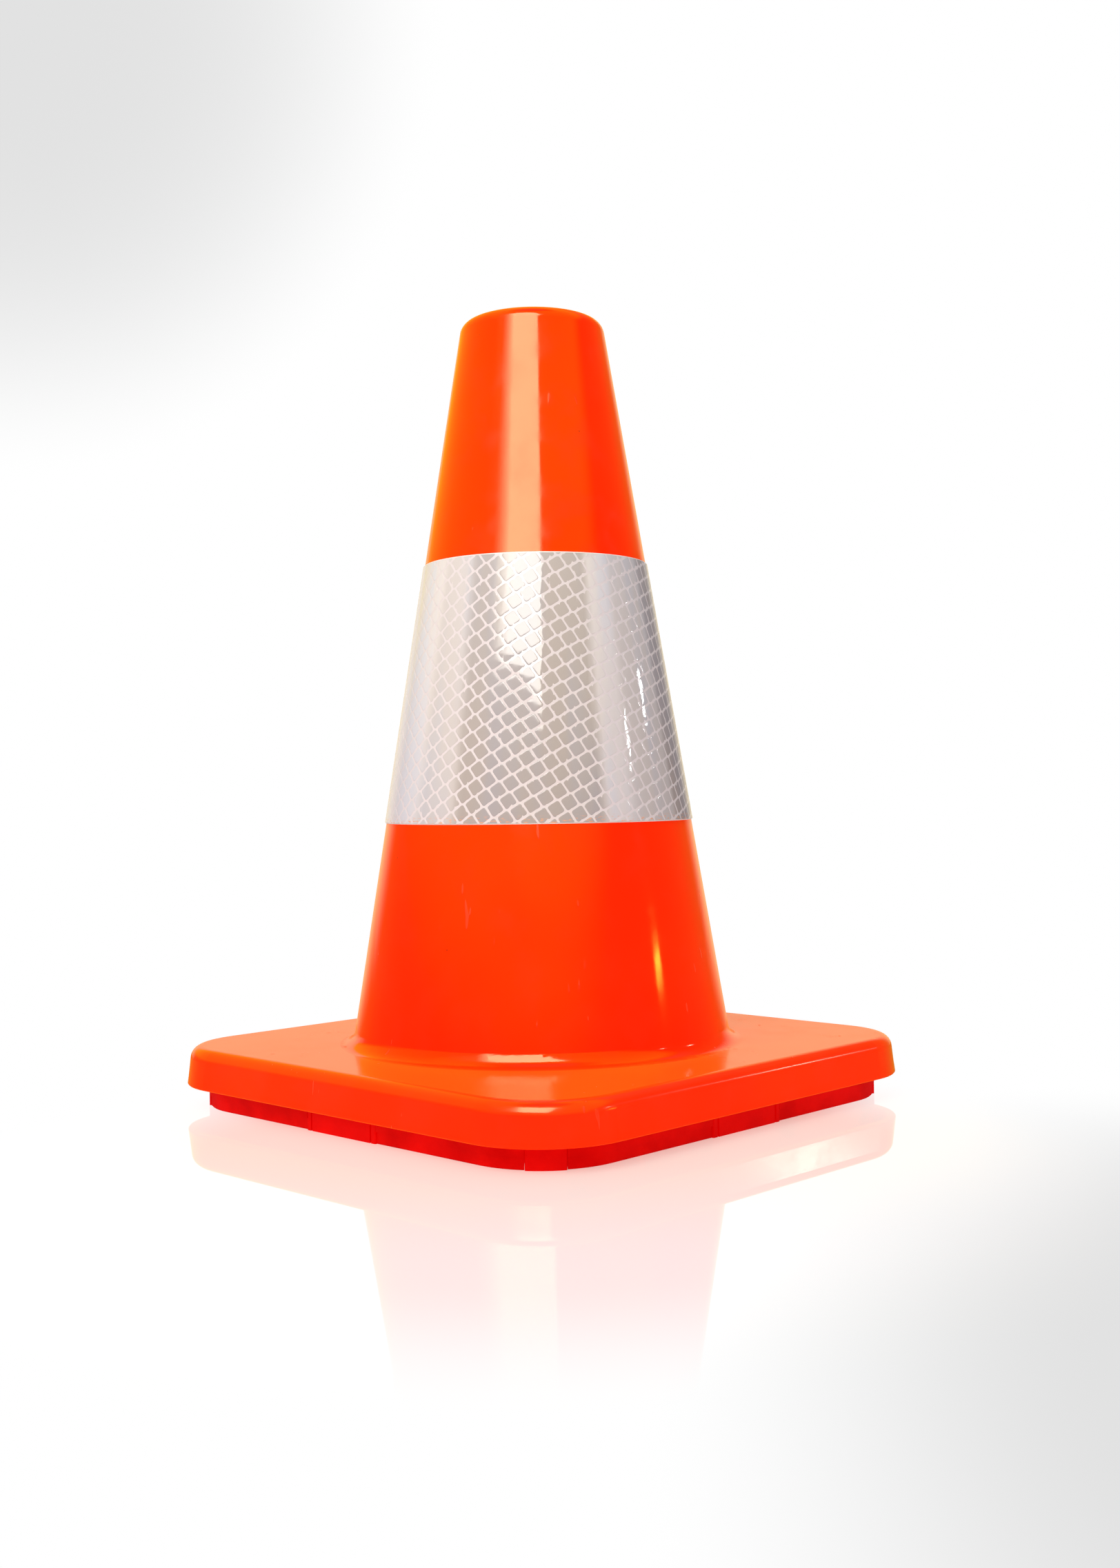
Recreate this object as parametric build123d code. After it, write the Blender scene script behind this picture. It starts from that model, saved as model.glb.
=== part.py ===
from build123d import *
import os
from math import cos, radians, sqrt, tan

# Sizes in millimetres. +Z is up, the origin is on the ground under the middle of the base.

# cone
CONE_HEIGHT = 304.8
FOOT_RADIUS = 77.67          # outer radius the wall line would have at ground level
WALL_SLOPE = 0.164           # radius lost per millimetre of height
WALL = 2.4                   # thickness measured level
TOP_THICKNESS = 3.2
SHOULDER_FILLET = 5.6
FOOT_FILLET = 6.0
TOP_HOLE_RADIUS = 14.0
TOP_HOLE_CHAMFER = 0.8

# base plate and skirt
BASE_SIDE = 215.9            # across the lower edge of the skirt
BASE_CORNER = 33.5
PLATE_TOP = 23.1
PLATE_THICKNESS = 2.8
PLATE_EDGE_FILLET = 4.8
SKIRT_BOTTOM = 8.5
SKIRT_WALL = 3.6
SKIRT_DRAFT = 7.0            # degrees, the skirt leans in towards the plate
SKIRT_EDGE_CHAMFER = 0.4
CAVITY_FILLET = 3.0

# ballast frame (upper tier) and foot ring (lower tier)
FRAME_SIDE = 202.4
FRAME_CORNER = 31.0
FRAME_BOTTOM = 4.2
FRAME_SEAT_BOTTOM = 10.0
FRAME_SEAT_CLEARANCE = 0.1   # gap to the skirt, all round
FRAME_WINDOW = 168.0
FRAME_WINDOW_CORNER = 50.0
RING_SIDE = 201.4
RING_CORNER = 30.5
RING_EDGE_CHAMFER = 0.4

# foot blocks let into the frame and the ring
CORNER_FOOT_WIDTH = 13.6
CORNER_FOOT_DEPTH = 12.0
SIDE_FOOT_LENGTH = 38.0
SIDE_FOOT_DEPTH = 9.0
FOOT_TOP = 12.5
FOOT_PROUD = 0.1
FOOT_CLEARANCE = 0.1
SLIT_WIDTH = 0.8
SLIT_DEPTH = 0.9
SLIT_FROM_END = 2.6
FOOT_EDGE_FILLET = 0.6

# reflective collar
COLLAR_BOTTOM = 108.6
COLLAR_TOP = 208.8
BACKING_THICKNESS = 0.25
BACKING_MARGIN = 0.35
FILM_THICKNESS = 0.35
LAP_ANGLE = 11.0             # width of the lap seam, degrees round the cone
LAP_BEARING = 45.0           # the seam is at the back of the cone

SIDES = 4
QUARTER_TURN = 90.0


def wall_radius(height):
    """Outer radius of the cone wall at one height."""
    return FOOT_RADIUS - WALL_SLOPE * height


def rounded_block(side, corner, bottom, top):
    """Upright square block with rounded corners."""
    block = extrude(RectangleRounded(side, side, corner), top - bottom)
    return Pos(0, 0, bottom) * block


def skirt_block(inset, bottom, top):
    """Block that leans in like the skirt, its faces `inset` inside the outer ones."""
    shift = inset + (bottom - SKIRT_BOTTOM) * tan(radians(SKIRT_DRAFT))
    side = BASE_SIDE - 2 * shift
    outline = RectangleRounded(side, side, BASE_CORNER - shift)
    return Pos(0, 0, bottom) * extrude(outline, top - bottom, taper=SKIRT_DRAFT)


def frustum(bottom, top, offset):
    """Solid between two heights, its surface `offset` outside the cone wall."""
    solid = Cone(
        wall_radius(bottom) + offset,
        wall_radius(top) + offset,
        top - bottom,
        align=(Align.CENTER, Align.CENTER, Align.MIN),
    )
    return Pos(0, 0, bottom) * solid


def edges_at(shape, height):
    """Edges that lie level at one height."""
    return shape.edges().filter_by_position(Axis.Z, height - 0.01, height + 0.01)


def round_edge(shape, height, radius):
    """The round edges of a given radius at one height."""
    found = edges_at(shape, height).filter_by(GeomType.CIRCLE)
    return [edge for edge in found if abs(edge.radius - radius) < 0.1]


def make_shell_outside():
    """Outer form: skirted plate, wall, foot fillet and rounded shoulder."""
    plate = skirt_block(0.0, SKIRT_BOTTOM, PLATE_TOP)
    plate = fillet(edges_at(plate, PLATE_TOP), PLATE_EDGE_FILLET)
    plate = chamfer(edges_at(plate, SKIRT_BOTTOM), SKIRT_EDGE_CHAMFER)
    body = plate + frustum(PLATE_TOP, CONE_HEIGHT, 0.0)
    body = fillet(round_edge(body, PLATE_TOP, wall_radius(PLATE_TOP)), FOOT_FILLET)
    return fillet(round_edge(body, CONE_HEIGHT, wall_radius(CONE_HEIGHT)), SHOULDER_FILLET)


def make_shell_inside():
    """Hollow of the cone, the space inside the skirt and the top hole."""
    plate_under = PLATE_TOP - PLATE_THICKNESS
    skirt_space = skirt_block(SKIRT_WALL, SKIRT_BOTTOM, plate_under)
    roof = CONE_HEIGHT - TOP_THICKNESS
    hollow = skirt_space + frustum(plate_under, roof, -WALL)
    mouth = round_edge(hollow, plate_under, wall_radius(plate_under) - WALL)
    hollow = fillet(mouth, CAVITY_FILLET)
    hole = Cylinder(TOP_HOLE_RADIUS, 2 * TOP_THICKNESS)
    return hollow + Pos(0, 0, roof + TOP_THICKNESS / 2) * hole


def make_cone_shell():
    """The orange moulding."""
    shell = make_shell_outside() - make_shell_inside()
    rim = round_edge(shell, CONE_HEIGHT, TOP_HOLE_RADIUS)
    return chamfer(rim, TOP_HOLE_CHAMFER)


def corner_reach(side, corner):
    """Distance from the middle to the rounded corner, along the diagonal."""
    return side / sqrt(2) - corner * (sqrt(2) - 1)


def foot_block(length, depth, reach, bearing, grow):
    """Upright block, its outer face at `reach` from the middle on a bearing."""
    block = Box(
        depth + grow,
        length + 2 * grow,
        FOOT_TOP + grow,
        align=(Align.MAX, Align.CENTER, Align.MIN),
    )
    return Rot(0, 0, bearing) * Pos(reach, 0, 0) * block


def corner_block(number, grow):
    """Block across one rounded corner of the base."""
    bearing = QUARTER_TURN * number + QUARTER_TURN / 2
    reach = corner_reach(FRAME_SIDE, FRAME_CORNER) + FOOT_PROUD
    return foot_block(CORNER_FOOT_WIDTH, CORNER_FOOT_DEPTH, reach, bearing, grow)


def side_block(number, grow):
    """Block at the middle of one side of the base."""
    bearing = QUARTER_TURN * number
    reach = FRAME_SIDE / 2 + FOOT_PROUD
    return foot_block(SIDE_FOOT_LENGTH, SIDE_FOOT_DEPTH, reach, bearing, grow)


def foot_outline():
    """Upright form that the outer faces of all feet follow."""
    side = FRAME_SIDE + 2 * FOOT_PROUD
    return rounded_block(side, FRAME_CORNER + FOOT_PROUD, 0.0, FOOT_TOP)


def make_corner_foot(number):
    """Narrow block whose outer face is round like the corner."""
    block = corner_block(number, 0.0) & foot_outline()
    return fillet(block.edges().filter_by(Axis.Z), FOOT_EDGE_FILLET)


def make_side_foot(number):
    """Long block at the middle of one side, with a slit near each end."""
    block = side_block(number, 0.0)
    block = fillet(block.edges().filter_by(Axis.Z), FOOT_EDGE_FILLET)
    slit = Box(2 * SLIT_DEPTH, SLIT_WIDTH, 3 * FOOT_TOP)
    slit_place = SIDE_FOOT_LENGTH / 2 - SLIT_FROM_END
    for end in (-1, 1):
        place = Pos(FRAME_SIDE / 2 + FOOT_PROUD, end * slit_place, 0)
        block -= Rot(0, 0, QUARTER_TURN * number) * place * slit
    return block


def cut_foot_pockets(tier):
    """Open the pockets that the eight foot blocks sit in."""
    for number in range(SIDES):
        tier -= corner_block(number, FOOT_CLEARANCE)
        tier -= side_block(number, FOOT_CLEARANCE)
    return tier


def make_ballast_frame():
    """Upper tier of the deep red layer, its wider seat filling the skirt."""
    top = PLATE_TOP - PLATE_THICKNESS
    frame = rounded_block(FRAME_SIDE, FRAME_CORNER, FRAME_BOTTOM, FRAME_SEAT_BOTTOM)
    frame += skirt_block(SKIRT_WALL + FRAME_SEAT_CLEARANCE, FRAME_SEAT_BOTTOM, top)
    window = rounded_block(FRAME_WINDOW, FRAME_WINDOW_CORNER, FRAME_BOTTOM, top)
    return cut_foot_pockets(frame - window)


def make_foot_ring():
    """Lower tier of the deep red layer, standing on the ground."""
    ring = rounded_block(RING_SIDE, RING_CORNER, 0.0, FRAME_BOTTOM)
    ring -= rounded_block(FRAME_WINDOW, FRAME_WINDOW_CORNER, 0.0, FRAME_BOTTOM)
    ring = chamfer(edges_at(ring, 0.0), RING_EDGE_CHAMFER)
    return cut_foot_pockets(ring)


def wall_layer(bottom, top, start, thickness):
    """Thin conical layer wrapped on the wall."""
    return frustum(bottom, top, start + thickness) - frustum(bottom, top, start)


def make_collar_backing():
    """White carrier of the collar, bonded to the wall."""
    return wall_layer(COLLAR_BOTTOM, COLLAR_TOP, 0.0, BACKING_THICKNESS)


def lap_wedge():
    """Upright wedge that covers the lap seam."""
    far = 3 * FOOT_RADIUS
    half = radians(LAP_ANGLE / 2)
    width = far * half / cos(half)
    face = make_face(Polyline((0, 0), (far, -width), (far, width), (0, 0)))
    return Rot(0, 0, LAP_BEARING) * extrude(face, CONE_HEIGHT)


def make_collar_film():
    """Prismatic sheeting with its lap seam."""
    bottom = COLLAR_BOTTOM + BACKING_MARGIN
    top = COLLAR_TOP - BACKING_MARGIN
    film = wall_layer(bottom, top, BACKING_THICKNESS, FILM_THICKNESS)
    over = wall_layer(bottom, top, BACKING_THICKNESS + FILM_THICKNESS, FILM_THICKNESS)
    return film + (over & lap_wedge())


def main():
    """Write one file for every piece."""
    os.makedirs("parts", exist_ok=True)
    export_step(make_cone_shell(), "parts/cone_shell.step")
    export_step(make_ballast_frame(), "parts/ballast_frame.step")
    export_step(make_foot_ring(), "parts/foot_ring.step")
    export_step(make_collar_backing(), "parts/collar_backing.step")
    export_step(make_collar_film(), "parts/collar_film.step")
    for number in range(SIDES):
        export_step(make_corner_foot(number), f"parts/corner_foot_{number + 1}.step")
        export_step(make_side_foot(number), f"parts/side_foot_{number + 1}.step")


main()
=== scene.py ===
import math
import random

import bmesh
import bpy
from mathutils import Matrix, Quaternion, Vector


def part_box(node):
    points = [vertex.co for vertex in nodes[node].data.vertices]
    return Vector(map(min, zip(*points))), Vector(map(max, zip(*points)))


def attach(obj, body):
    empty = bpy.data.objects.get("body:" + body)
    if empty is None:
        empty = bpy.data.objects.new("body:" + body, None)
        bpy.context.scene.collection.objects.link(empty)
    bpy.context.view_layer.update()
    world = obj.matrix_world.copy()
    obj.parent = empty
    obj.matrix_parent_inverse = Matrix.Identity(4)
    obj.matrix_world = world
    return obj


# A small PVC traffic cone in a white studio. Metres, +Z up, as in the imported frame.

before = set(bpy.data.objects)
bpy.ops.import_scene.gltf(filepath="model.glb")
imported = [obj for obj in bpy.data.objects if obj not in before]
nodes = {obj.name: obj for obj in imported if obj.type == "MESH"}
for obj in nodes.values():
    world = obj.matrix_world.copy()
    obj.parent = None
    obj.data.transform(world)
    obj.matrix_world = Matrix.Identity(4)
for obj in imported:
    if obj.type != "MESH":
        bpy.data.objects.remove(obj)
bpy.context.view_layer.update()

MM = 0.001
SEED = 12
rng = random.Random(SEED)

# wall, plate and collar, the same driving sizes as the frame
WALL_SLOPE = 0.164           # radius lost per metre of height
PLATE_TOP = 23.1 * MM
FILM_THICKNESS = 0.35 * MM
LAP_ANGLE = math.radians(11.0)

# the collar's blank starts and ends at the lap seam, at the back
FRONT_BEARING = math.radians(225.0)
LAP_MARGIN = math.radians(2.2)
BLANK_START = LAP_ANGLE / 2 - math.pi
BLANK_END = LAP_ANGLE / 2 + math.pi

# sealed cells of the sheeting, on the flat blank: the two steps of their lattice, and one cell
CELL_STEP_A = 5.45 * MM
CELL_STEP_B = 5.58 * MM
CELL_DIRECTION_A = math.radians(27.1)
CELL_DIRECTION_B = math.radians(-47.5)
CELL_TURN = math.radians(33.0)
CELL_HALF = 2.34 * MM        # half the side
CELL_CORNER = 0.80 * MM
CELL_RISE = 0.022 * MM       # how proud of the film the cell stands
CELL_FOOT = 0.06 * MM        # how deep its sides go into the film
CELL_SHOULDER = 0.10 * MM
CELL_RIM = 0.30 * MM
CELL_CROWN = 0.012 * MM      # how much its middle bulges
CELL_TILT = 0.0030           # largest slope of a cell, so that each one catches the light apart
CELL_MARGIN = 0.05 * MM      # bare film along both edges of the collar
CORNER_STEPS = 4
LATTICE_REACH = 2.4          # cells counted out each way, in outer radii of the blank

# orange PVC: base colours, painted red glow, specks, and what makes it less glossy
ORANGE_DEEP = (1.0, 0.017, 0.0003)
ORANGE_LIGHT = (1.0, 0.023, 0.0004)
ORANGE_PAINTED_GLOW = 0.24
SPECK_COLOUR = (0.30, 0.012, 0.002)
SCUFF_ROUGHNESS = 0.25
SMUDGE_HEIGHTS = (0.10, 0.21)
SMUDGE_ROUGHNESS = (0.05, 0.12)
WEAR_HEIGHTS = (23.8 * MM, PLATE_TOP)
WEAR_ROUGHNESS = 0.06

# deep red PVC and its painted red glow
RED_PAINTED_GLOW = 0.25

# sheeting: colours of the prism cells, the grey and white ends of their painted reflection bands, and
# of the stains along its lower edge
CELL_GREYS = ((0.415, 0.350, 0.330), (0.395, 0.350, 0.365))
CELL_REFLECTION_WHITES = ((0.74, 0.665, 0.645), (0.68, 0.65, 0.69))
# the lift shifts the painted reflection tone: darker at the lower edge, lighter at the upper
CELL_LIFT = (-0.10, 0.12)    # added to the tone at the lower and the upper edge
STAIN_COLOUR = (0.80, 0.36, 0.20)
STAIN_REACH = 0.035          # part of the collar's width

# painted reflections and light on the prism cells, as bands of tone round the cone: degrees right of
# the front, 0 grey to 1 white
CELL_PAINTED_REFLECTION_BANDS = (
    (-180, 0.5), (-155, 0.7), (-130, 0.4), (-110, 0.6), (-90, 1.0), (-52, 0.95), (-46, 0.60),
    (-36, 0.65), (-33, 0.62), (-29, 0.12), (-3, 0.10), (21.5, 0.14), (25.5, 0.90), (34, 0.92),
    (38, 0.58), (57, 0.50), (60, 0.05), (77, 0.05), (82, 0.55), (95, 0.6), (120, 0.3), (150, 0.6),
    (180, 0.5),
)

# camera
CAMERA_DISTANCE = 0.6665
CAMERA_HEIGHT = 0.1217
CAMERA_BEARING = math.radians(224.72)
CAMERA_PITCH = math.radians(0.11)
CAMERA_PAN = math.radians(0.73)
CAMERA_ROLL = 0.0145
CAMERA_LENS = 38.79
SENSOR = 36.0

# height on the cone's axis that every lamp faces
LAMP_AIM = 0.15

# softbox above the camera, in layers that soften its left edge: degrees left, width, radiance
KEY_LAYERS = (
    (11.0, 0.90, 3.0),
    (12.4, 0.98, 2.4),
    (13.8, 1.06, 2.0),
    (15.2, 1.14, 1.7),
    (16.7, 1.22, 1.4),
    (18.4, 1.31, 0.9),
)
KEY_RISE = math.radians(42.0)
KEY_DISTANCE = 1.6
KEY_HEIGHT = 1.15
KEY_ROLL = math.radians(-3.0)
KEY_TINT = (1.0, 0.97, 0.90)

# what lights matt surfaces instead of it, from further left
MATT_TURN = math.radians(28.0)
MATT_RISE = math.radians(40.0)
MATT_WIDTH = 1.4
MATT_HEIGHT = 1.2
MATT_RADIANCE = 3.6
MATT_TINT = (1.0, 0.98, 0.95)

# small lamps far on the right that light only the cone: degrees right and up, width, height, colour
GLINTS = (
    ("glint_high", 100.0, 14.5, 0.07, 0.06, (1.0, 1.0, 1.0)),
    ("glint_middle", 77.0, 15.0, 0.05, 0.06, (1.0, 1.0, 1.0)),
    ("glint_low", 79.0, 4.0, 0.13, 0.03, (1.0, 0.62, 0.08)),
)
GLINT_DISTANCE = 1.5
GLINT_RADIANCE = 30.0

# the room: what shiny faces see of it, and how much of it lights matt ones
ROOM_IN_GLOSS = 0.02
BACKDROP_IN_GLOSS = 1.0
BACKDROP_TINT = (1.0, 0.86, 0.58)
BACKDROP_LEAN = 0.06
BACKDROP_EDGE = (-0.71, -0.95)
CEILING_IN_GLOSS = 0.25
CEILING_RISE = (0.55, 0.85)
AMBIENT = 0.56
AMBIENT_SWING = 0.04

# warm glow that shiny faces pick up from above and from the left
GLOW = 1.15
GLOW_TINT = (1.0, 0.80, 0.03)
GLOW_TINT_EDGE = (0.0, 0.08)
GLOW_AXIS = (0.423, 0.060, 0.904)
GLOW_EDGE = (0.50, 0.66)
GLOW_SIDE_EDGE = (-0.35, 0.05)
GLOW_SIDE = 0.75
GLOW_RISE = (0.10, 0.30)
GLOW_TOP = (0.99, 0.93)

# grey corner of the backdrop, up on the left
CORNER_TURN = math.radians(-18.0)
CORNER_RISE = math.radians(24.0)
CORNER_REACH = math.radians(14.0)
CORNER_SHADE = 0.76

# the floor: glossy white round the cone with a painted warm reflection tint, plain white light further
# out
FLOOR_SIZE = 40.0
FLOOR_WHITE = (0.50, 0.50, 0.50)
# painted reflection: warm tint of the floor's colour and glow near the cone, and how far it reaches
FLOOR_NEAR = (1.0, 0.98, 0.89)
FLOOR_NEAR_REACH = (0.12, 0.24)
FLOOR_GLOW = 0.42
FLOOR_IN_GLOSS = 0.02
FLOOR_MIDDLE = 0.13          # middle of the glossy patch, in front of the cone
FLOOR_FADE = (0.12, 0.21)

# painted shade: grey corner of the floor, in front on the right
FLOOR_DARKEST = 0.76
GREY_FORWARD = 0.4665
GREY_RIGHT = 0.20
GREY_STRETCH = 0.4
GREY_REACH = (0.10, 0.19)


# ---------------------------------------------------------------- directions


def bearing_vector(bearing, elevation=0.0):
    """Unit vector on a bearing, raised by an elevation."""
    c = math.cos(elevation)
    return Vector((math.cos(bearing) * c, math.sin(bearing) * c, math.sin(elevation)))


def ahead_right_up(parts):
    """Vector given by its parts towards the camera, to the right and up."""
    ahead, right, up = parts
    towards = bearing_vector(CAMERA_BEARING) * ahead
    return towards + bearing_vector(CAMERA_BEARING + math.pi / 2) * right + Vector((0.0, 0.0, up))


# ---------------------------------------------------------------- node helpers


def new_material(name):
    """Empty node material with its Principled shader."""
    material = bpy.data.materials.new(name)
    material.use_nodes = True
    tree = material.node_tree
    return material, tree, tree.nodes["Principled BSDF"]


def add_node(tree, kind, **settings):
    """Adds a node and sets its properties."""
    node = tree.nodes.new(kind)
    for key, value in settings.items():
        setattr(node, key, value)
    return node


def set_inputs(node, **values):
    """Sets unlinked inputs, with underscores for spaces in their names."""
    for key, value in values.items():
        node.inputs[key.replace("_", " ")].default_value = value


def noise(tree, vector, scale, detail=3.0, roughness=0.5):
    """Noise texture on a coordinate, its factor output."""
    node = add_node(tree, "ShaderNodeTexNoise")
    set_inputs(node, Scale=scale, Detail=detail, Roughness=roughness)
    tree.links.new(vector, node.inputs["Vector"])
    return node.outputs["Fac"]


def ramp(tree, factor, low, high):
    """Smooth 0 to 1 step of a factor between two limits."""
    node = add_node(tree, "ShaderNodeMapRange", interpolation_type="SMOOTHSTEP")
    node.inputs["From Min"].default_value = low
    node.inputs["From Max"].default_value = high
    tree.links.new(factor, node.inputs["Value"])
    return node.outputs["Result"]


def scale_to(tree, factor, low, high):
    """Linear map of 0..1 to low..high."""
    node = add_node(tree, "ShaderNodeMapRange")
    node.inputs["To Min"].default_value = low
    node.inputs["To Max"].default_value = high
    tree.links.new(factor, node.inputs["Value"])
    return node.outputs["Result"]


def mix_colour(tree, factor, first, second):
    """Mix of two colours; each is a socket or an rgb triple."""
    node = add_node(tree, "ShaderNodeMix", data_type="RGBA")
    tree.links.new(factor, node.inputs["Factor"])
    for name, colour in (("A", first), ("B", second)):
        socket = [s for s in node.inputs if s.name == name and s.type == "RGBA"][0]
        if isinstance(colour, tuple):
            socket.default_value = (*colour, 1.0)
        else:
            tree.links.new(colour, socket)
    return [s for s in node.outputs if s.type == "RGBA"][0]


def math_node(tree, operation, first, second=0.0):
    """One math node; each input is a socket or a number."""
    node = add_node(tree, "ShaderNodeMath", operation=operation)
    for index, value in enumerate((first, second)):
        if isinstance(value, (int, float)):
            node.inputs[index].default_value = value
        else:
            tree.links.new(value, node.inputs[index])
    return node.outputs["Value"]


def total(tree, first, *others):
    """Sum of values; each is a socket or a number."""
    for value in others:
        first = math_node(tree, "ADD", first, value)
    return first


def product(tree, first, *others):
    """Product of values; each is a socket or a number."""
    for value in others:
        first = math_node(tree, "MULTIPLY", first, value)
    return first


def mix_value(tree, factor, first, second):
    """Mix of two values; each is a socket or a number."""
    node = add_node(tree, "ShaderNodeMix")
    tree.links.new(factor, node.inputs["Factor"])
    for name, value in (("A", first), ("B", second)):
        if isinstance(value, (int, float)):
            node.inputs[name].default_value = value
        else:
            tree.links.new(value, node.inputs[name])
    return node.outputs["Result"]


def mix_shader(tree, factor, first, second):
    """Mix of two shaders."""
    node = add_node(tree, "ShaderNodeMixShader")
    tree.links.new(factor, node.inputs["Fac"])
    tree.links.new(first, node.inputs[1])
    tree.links.new(second, node.inputs[2])
    return node.outputs["Shader"]


def dot_with(tree, direction, vector):
    """Dot product of a direction with a fixed vector."""
    node = add_node(tree, "ShaderNodeVectorMath", operation="DOT_PRODUCT")
    tree.links.new(direction, node.inputs[0])
    node.inputs[1].default_value = vector
    return node.outputs["Value"]


def length_of(tree, first, second):
    """Length of a flat vector."""
    squares = [product(tree, value, value) for value in (first, second)]
    return math_node(tree, "SQRT", total(tree, *squares))


def height_of(tree, where):
    """Height of a coordinate."""
    node = add_node(tree, "ShaderNodeSeparateXYZ")
    tree.links.new(where, node.inputs["Vector"])
    return node.outputs["Z"]


def profile(tree, turn, stops):
    """Value along a turn round the cone: a colour ramp with stops in degrees."""
    node = add_node(tree, "ShaderNodeValToRGB")
    elements = node.color_ramp.elements
    while len(elements) < len(stops):
        elements.new(0.5)
    for element, (degrees, value) in zip(elements, stops):
        element.position = degrees / 360.0 + 0.5
        element.color = (value, value, value, 1.0)
    tree.links.new(turn, node.inputs["Fac"])
    return node.outputs["Color"]


def bump(tree, height, strength, distance, normal=None):
    """Bump node, its normal output."""
    node = add_node(tree, "ShaderNodeBump")
    set_inputs(node, Strength=strength, Distance=distance)
    tree.links.new(height, node.inputs["Height"])
    if normal is not None:
        tree.links.new(normal, node.inputs["Normal"])
    return node.outputs["Normal"]


# ---------------------------------------------------------------- materials


def speckle(tree, vector, scale, size):
    """Rare small dots, 1 inside a dot."""
    node = add_node(tree, "ShaderNodeTexVoronoi")
    set_inputs(node, Scale=scale)
    tree.links.new(vector, node.inputs["Vector"])
    near = ramp(tree, node.outputs["Distance"], size, size * 0.6)
    chosen = ramp(tree, node.outputs["Color"], 0.70, 0.72)
    return product(tree, near, chosen)


def scratches(tree, vector):
    """Sparse fine scratches, 1 on a scratch."""
    turned_space = add_node(tree, "ShaderNodeMapping")
    turned_space.inputs["Rotation"].default_value = (0.5, 0.9, 0.3)
    turned_space.inputs["Scale"].default_value = (1.0, 1.0, 0.06)
    tree.links.new(vector, turned_space.inputs["Vector"])
    lines = noise(tree, turned_space.outputs["Vector"], 420.0, 1.0)
    place = noise(tree, vector, 35.0, 2.0)
    return product(tree, ramp(tree, lines, 0.70, 0.74), ramp(tree, place, 0.56, 0.64))


def orange_pvc():
    """Glossy fluorescent orange PVC, a little wavy, with specks, smudges and fine scuffs, and a painted
    red glow that stands in for fluorescence and light through the wall.
    """
    material, tree, shader = new_material("orange_pvc")
    where = add_node(tree, "ShaderNodeTexCoord").outputs["Object"]
    height = height_of(tree, where)

    cloud = ramp(tree, noise(tree, where, 14.0, 2.0), 0.35, 0.65)
    base = mix_colour(tree, cloud, ORANGE_DEEP, ORANGE_LIGHT)
    base = mix_colour(tree, speckle(tree, where, 120.0, 0.055), base, SPECK_COLOUR)
    tree.links.new(base, shader.inputs["Base Color"])

    fine = noise(tree, where, 900.0, 2.0)
    scuffs = scratches(tree, where)
    patches = ramp(tree, noise(tree, where, 70.0, 4.0, 0.6), 0.42, 0.70)
    smudge = scale_to(tree, ramp(tree, height, *SMUDGE_HEIGHTS), *SMUDGE_ROUGHNESS)
    rough = total(
        tree,
        scale_to(tree, fine, 0.06, 0.10),
        product(tree, scuffs, SCUFF_ROUGHNESS),
        product(tree, patches, smudge),
        product(tree, ramp(tree, height, *WEAR_HEIGHTS), WEAR_ROUGHNESS),
    )
    tree.links.new(rough, shader.inputs["Roughness"])

    slow = bump(tree, noise(tree, where, 22.0, 1.0), 0.10, 0.002)
    marks = bump(tree, scuffs, 0.3, 0.0001, slow)
    tree.links.new(bump(tree, fine, 0.02, 0.0001, marks), shader.inputs["Normal"])

    shader.inputs["IOR"].default_value = 1.5
    shader.inputs["Specular Tint"].default_value = (1.0, 0.95, 0.55, 1.0)
    shader.inputs["Sheen Weight"].default_value = 0.80
    shader.inputs["Sheen Roughness"].default_value = 0.35
    shader.inputs["Sheen Tint"].default_value = (1.0, 0.50, 0.03, 1.0)
    # painted glow: red emission that lifts the shaded side, in place of fluorescence and light through
    # the wall
    shader.inputs["Emission Color"].default_value = (1.0, 0.01, 0.0, 1.0)
    shader.inputs["Emission Strength"].default_value = ORANGE_PAINTED_GLOW
    return material


def red_pvc(name, dark, light):
    """Deep red recycled PVC of the base layers, with a painted red glow that stands in for light
    through the wall.
    """
    material, tree, shader = new_material(name)
    where = add_node(tree, "ShaderNodeTexCoord").outputs["Object"]
    cloud = noise(tree, where, 60.0, 4.0)
    base = mix_colour(tree, ramp(tree, cloud, 0.3, 0.7), dark, light)
    tree.links.new(base, shader.inputs["Base Color"])
    fine = noise(tree, where, 700.0, 4.0)
    tree.links.new(scale_to(tree, fine, 0.45, 0.60), shader.inputs["Roughness"])
    tree.links.new(bump(tree, fine, 0.20, 0.0003), shader.inputs["Normal"])
    shader.inputs["IOR"].default_value = 1.48
    shader.inputs["Specular IOR Level"].default_value = 0.03
    # painted glow: red emission in place of light through the wall
    shader.inputs["Emission Color"].default_value = (1.0, 0.0, 0.0, 1.0)
    shader.inputs["Emission Strength"].default_value = RED_PAINTED_GLOW
    return material


def carrier_vinyl():
    """Off-white carrier behind the sheeting."""
    material, tree, shader = new_material("collar_carrier")
    where = add_node(tree, "ShaderNodeTexCoord").outputs["Object"]
    cloud = noise(tree, where, 300.0, 4.0)
    base = mix_colour(tree, cloud, (0.80, 0.74, 0.68), (0.90, 0.87, 0.82))
    tree.links.new(base, shader.inputs["Base Color"])
    tree.links.new(scale_to(tree, cloud, 0.35, 0.55), shader.inputs["Roughness"])
    return material


def clear_coat(shader):
    """The clear face film over the cells and over their seals."""
    shader.inputs["Specular IOR Level"].default_value = 0.0
    shader.inputs["Coat Weight"].default_value = 1.0
    shader.inputs["Coat Roughness"].default_value = 0.04
    shader.inputs["Coat IOR"].default_value = 1.5


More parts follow.
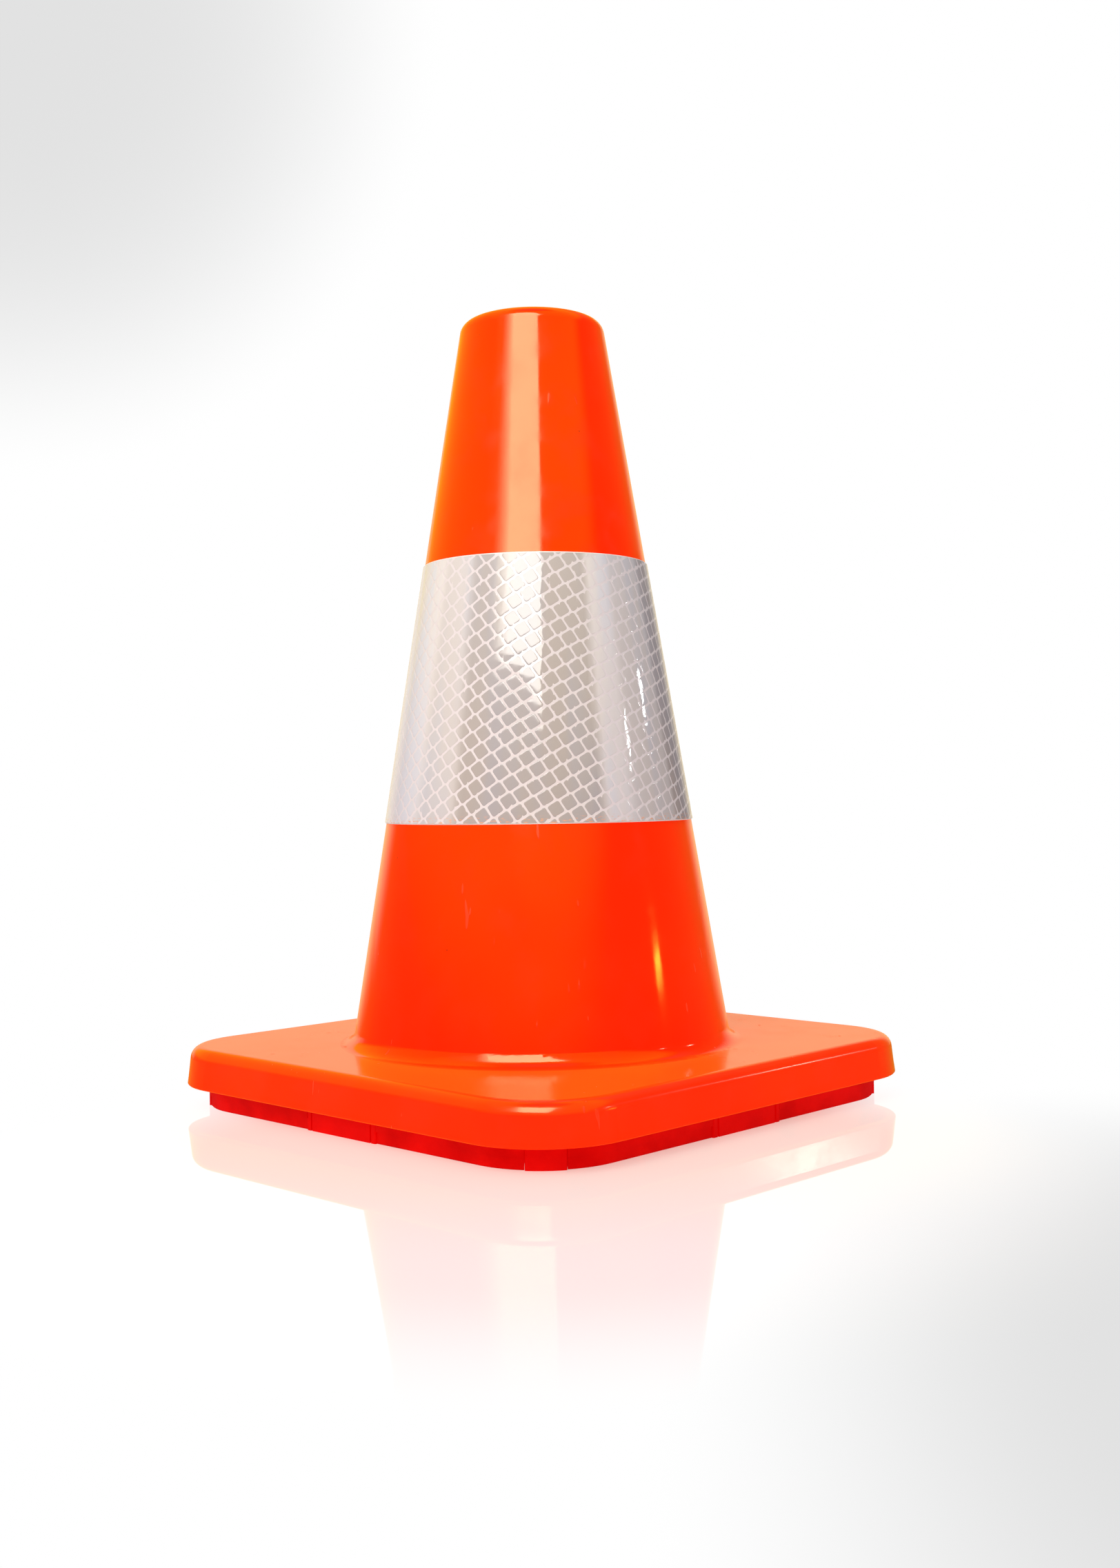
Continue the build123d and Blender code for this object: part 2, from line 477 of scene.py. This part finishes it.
def seal_film():
    """Clear film over its white seal lines."""
    material, tree, shader = new_material("film_seal")
    where = add_node(tree, "ShaderNodeTexCoord").outputs["Object"]
    cloud = noise(tree, where, 500.0, 3.0)
    base = mix_colour(tree, cloud, (0.70, 0.61, 0.61), (0.76, 0.67, 0.68))
    tree.links.new(base, shader.inputs["Base Color"])
    tree.links.new(scale_to(tree, cloud, 0.22, 0.32), shader.inputs["Roughness"])
    clear_coat(shader)
    return material


def prism_film():
    """Sealed cells of tiny prisms: silvery grey with painted upright reflection bands and a faint tint.
    """
    material, tree, shader = new_material("film_prisms")
    blank = add_node(tree, "ShaderNodeUVMap", uv_map="blank").outputs["UV"]
    sides = add_node(tree, "ShaderNodeSeparateXYZ")
    tree.links.new(blank, sides.inputs["Vector"])
    stretch = add_node(tree, "ShaderNodeMapping")
    stretch.inputs["Scale"].default_value = (1.0, 0.03, 1.0)
    tree.links.new(blank, stretch.inputs["Vector"])
    ripple = noise(tree, stretch.outputs["Vector"], 60.0, 3.0, 0.6)
    bent = total(tree, sides.outputs["X"], scale_to(tree, ripple, -0.006, 0.006))
    lift = scale_to(tree, sides.outputs["Y"], *CELL_LIFT)
    # painted reflections: the band tone round the cone mixes grey and white cells
    tone = total(tree, profile(tree, bent, CELL_PAINTED_REFLECTION_BANDS), lift)
    hue = noise(tree, stretch.outputs["Vector"], 25.0, 2.0)
    grey = mix_colour(tree, ramp(tree, hue, 0.35, 0.65), *CELL_GREYS)
    white = mix_colour(tree, ramp(tree, hue, 0.40, 0.60), *CELL_REFLECTION_WHITES)
    base = mix_colour(tree, tone, grey, white)
    stain = ramp(tree, sides.outputs["Y"], STAIN_REACH, 0.0)
    blot = ramp(tree, noise(tree, blank, 180.0, 2.0), 0.56, 0.62)
    base = mix_colour(tree, product(tree, stain, blot), base, STAIN_COLOUR)
    tree.links.new(base, shader.inputs["Base Color"])
    tree.links.new(scale_to(tree, ripple, 0.15, 0.30), shader.inputs["Roughness"])
    clear_coat(shader)
    return material


def floor_gloss():
    """Floor of the stage: a glossy white patch round the cone in a plain white surface, with a painted
    shade corner and a painted warm reflection tint near the cone.
    """
    material, tree, shader = new_material("floor_gloss")
    where = add_node(tree, "ShaderNodeTexCoord").outputs["Object"]
    forward = dot_with(tree, where, bearing_vector(CAMERA_BEARING))
    right = dot_with(tree, where, bearing_vector(CAMERA_BEARING + math.pi / 2))

    # painted shade: the floor's colour and glow darken towards the grey corner
    grey_x = product(tree, math_node(tree, "SUBTRACT", forward, GREY_FORWARD), GREY_STRETCH)
    grey_y = math_node(tree, "SUBTRACT", right, GREY_RIGHT)
    light = ramp(tree, length_of(tree, grey_x, grey_y), *GREY_REACH)
    darkest = tuple(value * FLOOR_DARKEST for value in FLOOR_WHITE)
    # painted reflection: near the cone the floor's colour and glow are tinted warm
    near = tuple(value * tint for value, tint in zip(FLOOR_WHITE, FLOOR_NEAR))
    clear = ramp(tree, length_of(tree, forward, right), *FLOOR_NEAR_REACH)
    plain = mix_colour(tree, light, darkest, FLOOR_WHITE)
    emitted = mix_colour(tree, clear, FLOOR_NEAR, (1.0, 1.0, 1.0))
    lit = scale_to(tree, light, FLOOR_GLOW * FLOOR_DARKEST, FLOOR_GLOW)
    tree.links.new(mix_colour(tree, clear, near, plain), shader.inputs["Base Color"])
    tree.links.new(emitted, shader.inputs["Emission Color"])
    tree.links.new(lit, shader.inputs["Emission Strength"])
    set_inputs(shader, Roughness=0.0, IOR=1.5)

    glow = add_node(tree, "ShaderNodeEmission")
    tree.links.new(scale_to(tree, light, FLOOR_DARKEST, 1.0), glow.inputs["Strength"])
    off_middle = math_node(tree, "SUBTRACT", forward, FLOOR_MIDDLE)
    far = ramp(tree, length_of(tree, off_middle, right), *FLOOR_FADE)
    blend = mix_shader(tree, far, shader.outputs["BSDF"], glow.outputs["Emission"])

    # what the cone's gloss sees of the floor: dark in front, white like the backdrop behind
    outward = math_node(tree, "DIVIDE", forward, length_of(tree, forward, right))
    behind = ramp(tree, outward, *BACKDROP_EDGE)
    strength = scale_to(tree, behind, FLOOR_IN_GLOSS, BACKDROP_IN_GLOSS)
    reflected = add_node(tree, "ShaderNodeEmission")
    reflected.inputs["Color"].default_value = (*BACKDROP_TINT, 1.0)
    tree.links.new(strength, reflected.inputs["Strength"])
    path = add_node(tree, "ShaderNodeLightPath")
    seen = mix_shader(tree, path.outputs["Is Glossy Ray"], blend, reflected.outputs["Emission"])
    output = [node for node in tree.nodes if node.type == "OUTPUT_MATERIAL"][0]
    tree.links.new(seen, output.inputs["Surface"])
    return material


def assign(target, *materials):
    """Gives an object its materials."""
    target.data.materials.clear()
    for material in materials:
        target.data.materials.append(material)


# ---------------------------------------------------------------- collar film


class Blank:
    """The flat blank of the collar, a sector round the cone's unrolled tip, and how it wraps."""

    def __init__(self, node):
        low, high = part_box(node)
        self.low, self.high = low.z, high.z
        self.low_radius = -low.x
        self.sine = WALL_SLOPE / math.hypot(1.0, WALL_SLOPE)
        self.cosine = 1.0 / math.hypot(1.0, WALL_SLOPE)
        self.reach_low = self.low_radius / self.sine
        self.reach_high = self.reach_low - (self.high - self.low) / self.cosine

    def turn(self, point):
        """How far round the cone a point of the flat blank goes, from the front."""
        return math.atan2(point.x, -point.y) / self.sine

    def place(self, point):
        """Point of the flat blank, its z the lift, wrapped on the cone."""
        reach = math.hypot(point.x, point.y)
        bearing = FRONT_BEARING + self.turn(point)
        radius = reach * self.sine + point.z * self.cosine
        height = self.low + (self.reach_low - reach) * self.cosine + point.z * self.sine
        return Vector((radius * math.cos(bearing), radius * math.sin(bearing), height))


def cell_outline(half, corner):
    """Rounded square of one sealed cell, round its own middle."""
    points = []
    inner = half - corner
    for quarter in range(4):
        start = quarter * math.pi / 2
        sx = 1 if quarter in (0, 3) else -1
        sy = 1 if quarter in (0, 1) else -1
        for step in range(CORNER_STEPS + 1):
            angle = start + step / CORNER_STEPS * math.pi / 2
            x = sx * inner + corner * math.cos(angle)
            y = sy * inner + corner * math.sin(angle)
            points.append(turned(x, y, CELL_TURN))
    return points


def turned(x, y, angle):
    """A flat point turned about the origin."""
    c, s = math.cos(angle), math.sin(angle)
    return x * c - y * s, x * s + y * c


def cell_middles(blank):
    """Middles of the cells that cover the blank, from one end to the other."""
    step_a = Vector((math.cos(CELL_DIRECTION_A), math.sin(CELL_DIRECTION_A))) * CELL_STEP_A
    step_b = Vector((math.cos(CELL_DIRECTION_B), math.sin(CELL_DIRECTION_B))) * CELL_STEP_B
    start = Vector((0.0, -(blank.reach_low + blank.reach_high) / 2))
    margin = CELL_STEP_A
    count = int(LATTICE_REACH * blank.reach_low / CELL_STEP_A)
    for i in range(-count, count + 1):
        for j in range(-count, count + 1):
            point = start + step_a * i + step_b * j
            reach = point.length
            inside = blank.reach_high - margin < reach < blank.reach_low + margin
            beyond = margin / reach / blank.sine
            if inside and BLANK_START - beyond < blank.turn(point) < BLANK_END + beyond:
                yield point


def cut_cells(work, blank):
    """Cuts the cells off at the ends of the blank, while it is still flat."""
    for side, turn in ((-1, BLANK_START), (1, BLANK_END)):
        end = turn * blank.sine
        outward = Vector((side * math.cos(end), side * math.sin(end), 0.0))
        everything = work.verts[:] + work.edges[:] + work.faces[:]
        bmesh.ops.bisect_plane(
            work, geom=everything, plane_co=(0, 0, 0), plane_no=outward, clear_outer=True
        )


def cell_rings():
    """Outlines of one cell from foot to crown, each with its height and its share of the crown."""
    top = CELL_HALF - CELL_SHOULDER
    top_corner = CELL_CORNER - CELL_SHOULDER * 0.6
    return (
        (cell_outline(CELL_HALF, CELL_CORNER), -CELL_FOOT, 0.0),
        (cell_outline(CELL_HALF, CELL_CORNER), CELL_RISE * 0.35, 0.0),
        (cell_outline(top, top_corner), CELL_RISE, 0.0),
        (cell_outline(top - CELL_RIM, top_corner - CELL_RIM * 0.5), CELL_RISE, 0.35),
        (cell_outline(CELL_HALF * 0.4, CELL_CORNER * 0.4), CELL_RISE, 0.85),
    )


def lap_lift(blank, middle):
    """Extra height of a cell that lies on the overlapping end of the sheet."""
    return FILM_THICKNESS if blank.turn(middle) > BLANK_END - LAP_ANGLE - LAP_MARGIN else 0.0


def add_cell(work, rings, middle, base):
    """Adds one raised cell round its middle, leaning a little to one side."""
    lean = Vector((rng.uniform(-CELL_TILT, CELL_TILT), rng.uniform(-CELL_TILT, CELL_TILT)))
    loops = []
    for outline, lift, crown in rings:
        loop = []
        for x, y in outline:
            height = base + lift + crown * CELL_CROWN
            if lift > 0.0:
                height += lean.x * x + lean.y * y
            loop.append(work.verts.new((middle.x + x, middle.y + y, height)))
        loops.append(loop)
    top = work.verts.new((middle.x, middle.y, base + CELL_RISE + CELL_CROWN))
    count = len(loops[0])
    for lower, upper in zip(loops, loops[1:]):
        for k in range(count):
            n = (k + 1) % count
            work.faces.new((lower[k], lower[n], upper[n], upper[k]))
    for k in range(count):
        n = (k + 1) % count
        work.faces.new((loops[-1][k], loops[-1][n], top))


def map_blank(work, blank):
    """Gives the flat cells their place on the blank: round the cone, and up it."""
    layer = work.loops.layers.uv.new("blank")
    for face in work.faces:
        for corner in face.loops:
            point = corner.vert.co
            reach = math.hypot(point.x, point.y)
            across = blank.turn(point) / (2 * math.pi) + 0.5
            up = (blank.reach_low - reach) / (blank.reach_low - blank.reach_high)
            corner[layer].uv = (across, up)


def make_cells(blank):
    """The raised cells of the sheeting, as one mesh."""
    work = bmesh.new()
    rings = cell_rings()
    for middle in cell_middles(blank):
        add_cell(work, rings, middle, lap_lift(blank, middle))
    cut_cells(work, blank)
    map_blank(work, blank)
    for vertex in work.verts:
        vertex.co = blank.place(vertex.co)
    trim_level(work, blank.low + CELL_MARGIN, -1.0)
    trim_level(work, blank.high - CELL_MARGIN, 1.0)
    for face in work.faces:
        face.smooth = True
    return mesh_object("collar_cells", work)


def trim_level(work, height, side):
    """Cuts the mesh off at a height, above or below."""
    everything = work.verts[:] + work.edges[:] + work.faces[:]
    bmesh.ops.bisect_plane(
        work, geom=everything, plane_co=(0, 0, height), plane_no=(0, 0, side), clear_outer=True
    )


def mesh_object(name, work):
    """Turns a bmesh into an object in the scene."""
    mesh = bpy.data.meshes.new(name)
    work.to_mesh(mesh)
    work.free()
    piece = bpy.data.objects.new(name, mesh)
    bpy.context.scene.collection.objects.link(piece)
    return piece


# ---------------------------------------------------------------- stage


def make_floor():
    """Large plain floor."""
    work = bmesh.new()
    bmesh.ops.create_grid(work, x_segments=1, y_segments=1, size=FLOOR_SIZE)
    floor = mesh_object("floor", work)
    assign(floor, floor_gloss())


def make_camera():
    """Camera at the corner of the base, a little over a third of the way up."""
    data = bpy.data.cameras.new("camera")
    data.sensor_width = SENSOR
    data.lens = CAMERA_LENS
    data.clip_start = 0.01
    camera = bpy.data.objects.new("camera", data)
    bpy.context.scene.collection.objects.link(camera)
    spot = bearing_vector(CAMERA_BEARING) * CAMERA_DISTANCE
    spot.z = CAMERA_HEIGHT
    heading = CAMERA_BEARING + math.pi - CAMERA_PAN
    forward = bearing_vector(heading, CAMERA_PITCH)
    aim = forward.to_track_quat("-Z", "Y").to_matrix().to_4x4()
    roll = Matrix.Rotation(-CAMERA_ROLL, 4, "Z")
    camera.matrix_world = Matrix.Translation(spot) @ aim @ roll
    bpy.context.scene.camera = camera


def add_softbox(
    name, bearing, elevation, distance, width, height, radiance, colour, roll, glossy=True, diffuse=True
):
    """Rectangular soft light that faces the middle of the cone."""
    data = bpy.data.lights.new(name, "AREA")
    data.shape = "RECTANGLE"
    data.size = width
    data.size_y = height
    data.energy = radiance * math.pi * width * height
    data.color = colour
    lamp = bpy.data.objects.new(name, data)
    bpy.context.scene.collection.objects.link(lamp)
    middle = Vector((0.0, 0.0, LAMP_AIM))
    away = bearing_vector(bearing, elevation)
    lamp.location = middle + away * distance
    lamp.rotation_mode = "QUATERNION"
    facing = (-away).to_track_quat("-Z", "Y")
    lamp.rotation_quaternion = facing @ Quaternion((0.0, 0.0, 1.0), roll)
    lamp.visible_glossy = glossy
    lamp.visible_diffuse = diffuse
    lamp.visible_camera = False
    return lamp


def make_lights(pieces):
    """Softbox above the camera, its matt light from further left, and three small lamps."""
    for number, (turn, width, radiance) in enumerate(KEY_LAYERS):
        add_softbox(
            f"key_{number}", CAMERA_BEARING - math.radians(turn), KEY_RISE, KEY_DISTANCE,
            width, KEY_HEIGHT, radiance, KEY_TINT, KEY_ROLL, diffuse=False,
        )
    add_softbox(
        "key_matt", CAMERA_BEARING - MATT_TURN, MATT_RISE, KEY_DISTANCE,
        MATT_WIDTH, MATT_HEIGHT, MATT_RADIANCE, MATT_TINT, KEY_ROLL, glossy=False,
    )
    lit = bpy.data.collections.new("lit_by_glints")
    for piece in pieces:
        lit.objects.link(piece)
    for name, turn, rise, width, height, colour in GLINTS:
        lamp = add_softbox(
            name, CAMERA_BEARING + math.radians(turn), math.radians(rise), GLINT_DISTANCE,
            width, height, GLINT_RADIANCE, colour, 0.0, diffuse=False,
        )
        lamp.light_linking.receiver_collection = lit


def make_world():
    """White backdrop, a dim room in front of it, and a soft glow that is stronger on the left."""
    world = bpy.data.worlds.new("studio")
    bpy.context.scene.world = world
    world.use_nodes = True
    tree = world.node_tree
    background = tree.nodes["Background"]
    direction = add_node(tree, "ShaderNodeTexCoord").outputs["Generated"]
    ahead = dot_with(tree, direction, bearing_vector(CAMERA_BEARING))
    right = dot_with(tree, direction, bearing_vector(CAMERA_BEARING + math.pi / 2))
    left = product(tree, right, -1.0)
    up = dot_with(tree, direction, Vector((0.0, 0.0, 1.0)))

    # for gloss: the backdrop behind, the dim room in front, and the ceiling
    leaning = total(tree, ahead, product(tree, right, BACKDROP_LEAN))
    behind = ramp(tree, leaning, *BACKDROP_EDGE)
    walls = scale_to(tree, behind, ROOM_IN_GLOSS, BACKDROP_IN_GLOSS)
    reflected = mix_value(tree, ramp(tree, up, *CEILING_RISE), walls, CEILING_IN_GLOSS)

    # for gloss: the warm glow, from above and from the left, but not on the backdrop
    above = ramp(tree, dot_with(tree, direction, ahead_right_up(GLOW_AXIS)), *GLOW_EDGE)
    beside = product(tree, ramp(tree, left, *GLOW_SIDE_EDGE), GLOW_SIDE)
    glow = product(
        tree,
        math_node(tree, "MAXIMUM", above, beside),
        math_node(tree, "SUBTRACT", 1.0, behind),
        ramp(tree, up, *GLOW_RISE),
        ramp(tree, up, *GLOW_TOP),
    )
    reflected = total(tree, reflected, product(tree, glow, GLOW))

    # for matt surfaces: even light, a little stronger from the left
    ambient = total(tree, product(tree, left, AMBIENT_SWING), AMBIENT)

    # for the camera: white, with the grey corner
    corner_middle = bearing_vector(CAMERA_BEARING + math.pi - CORNER_TURN, CORNER_RISE)
    corner = ramp(tree, dot_with(tree, direction, corner_middle), math.cos(CORNER_REACH), 1.0)
    backdrop = scale_to(tree, corner, 1.0, CORNER_SHADE)

    path = add_node(tree, "ShaderNodeLightPath")
    glossy = path.outputs["Is Glossy Ray"]
    shaded = mix_value(tree, glossy, ambient, reflected)
    seen = mix_value(tree, path.outputs["Is Camera Ray"], shaded, backdrop)
    tree.links.new(seen, background.inputs["Strength"])

    # the backdrop is warm in blurred reflections, and white in the floor's sharp ones
    blurred = math_node(tree, "SUBTRACT", glossy, path.outputs["Is Singular Ray"])
    blurred = math_node(tree, "MAXIMUM", blurred, 0.0)
    hue = mix_colour(tree, product(tree, blurred, behind), (1.0, 1.0, 1.0), BACKDROP_TINT)
    warm = product(tree, glossy, ramp(tree, glow, *GLOW_TINT_EDGE))
    tree.links.new(mix_colour(tree, warm, hue, GLOW_TINT), background.inputs["Color"])


# ---------------------------------------------------------------- build


make_camera()
make_floor()
make_world()
bpy.context.scene.view_settings.view_transform = "Standard"

assign(nodes["cone_shell"], orange_pvc())
ballast = red_pvc("recycled_pvc", (0.42, 0.0, 0.0), (0.60, 0.002, 0.001))
assign(nodes["ballast_frame"], ballast)
assign(nodes["foot_ring"], ballast)
foot_material = red_pvc("foot_pvc", (0.50, 0.001, 0.001), (0.62, 0.002, 0.001))
for name, node in nodes.items():
    if "_foot_" in name:
        assign(node, foot_material)
assign(nodes["collar_backing"], carrier_vinyl())
assign(nodes["collar_film"], seal_film())

film_blank = Blank("collar_film")
cells = make_cells(film_blank)
assign(cells, prism_film())
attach(cells, "root")
make_lights([*nodes.values(), cells])
